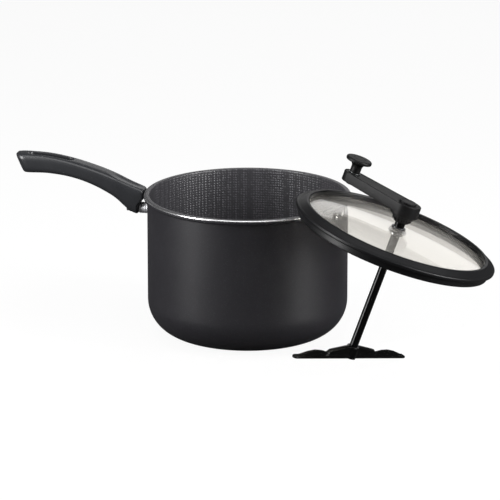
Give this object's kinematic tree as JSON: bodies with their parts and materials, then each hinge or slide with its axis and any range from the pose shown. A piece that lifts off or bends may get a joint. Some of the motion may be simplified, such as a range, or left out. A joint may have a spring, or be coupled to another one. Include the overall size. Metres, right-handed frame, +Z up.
{
  "type": "saucepan with glass lid",
  "caption": "Deep saucepan with a long handle and a silicone-rimmed glass lid, whose crank turns a stirring paddle through the lid.",
  "frame": {"origin": "centre of the pan's base, on the surface the pan stands on", "axes": "+Z up, the pan's handle points along -X, the steam vents face +X; the lid stands beside the pan towards +X and -Y"},
  "size_m": [0.5175, 0.343, 0.2181],
  "materials": {
    "pan_coating": "satin, fine speckle",
    "bare_aluminium": "brushed",
    "bakelite": "fine satin",
    "plated_steel": "satin",
    "lid_glass": "clear",
    "black_silicone": "satin",
    "black_nylon": "gloss",
    "shaft_coating": "gloss",
    "crank_plastic": "fine satin",
    "knob_plastic": "fine satin"
  },
  "bodies": {
    "pan": {"pan_body": "pan_coating", "weld_stud": "bare_aluminium", "ferrule": "bare_aluminium", "handle_grip": "bakelite", "screw_washer": "plated_steel", "handle_screw": "plated_steel"},
    "lid": {"lid_glass": "lid_glass", "silicone_rim": "black_silicone", "lid_bush": "black_nylon", "bush_gasket": "black_silicone", "bush_ring": "plated_steel"},
    "crank": {"drive_shaft": "shaft_coating", "thrust_washer": "plated_steel", "retaining_clip": "plated_steel", "paddle": "black_nylon", "cross_pin": "plated_steel", "hub_collar": "crank_plastic", "crank_arm": "crank_plastic", "hub_screw": "plated_steel", "hub_cap": "crank_plastic", "knob_pin": "plated_steel", "knob_washer": "plated_steel", "knob_screw": "plated_steel"},
    "knob": {"knob_grip": "knob_plastic", "knob_plug": "knob_plastic"}
  },
  "joints": [
    {"name": "lid_lift", "type": "slide", "parent": "pan", "child": "lid", "axis": [0, 0, 1], "range_m": [0, 0.18]},
    {"name": "crank_turn", "type": "hinge", "parent": "lid", "child": "crank", "pos_m": [0.1841, -0.13348, 0.16758], "axis": [0.3287, 0.0657, 0.9421], "continuous": true},
    {"name": "knob_spin", "type": "hinge", "parent": "crank", "child": "knob", "pos_m": [0.13196, -0.09796, 0.20717], "axis": [0.3287, 0.0657, 0.9421], "continuous": true}
  ]
}
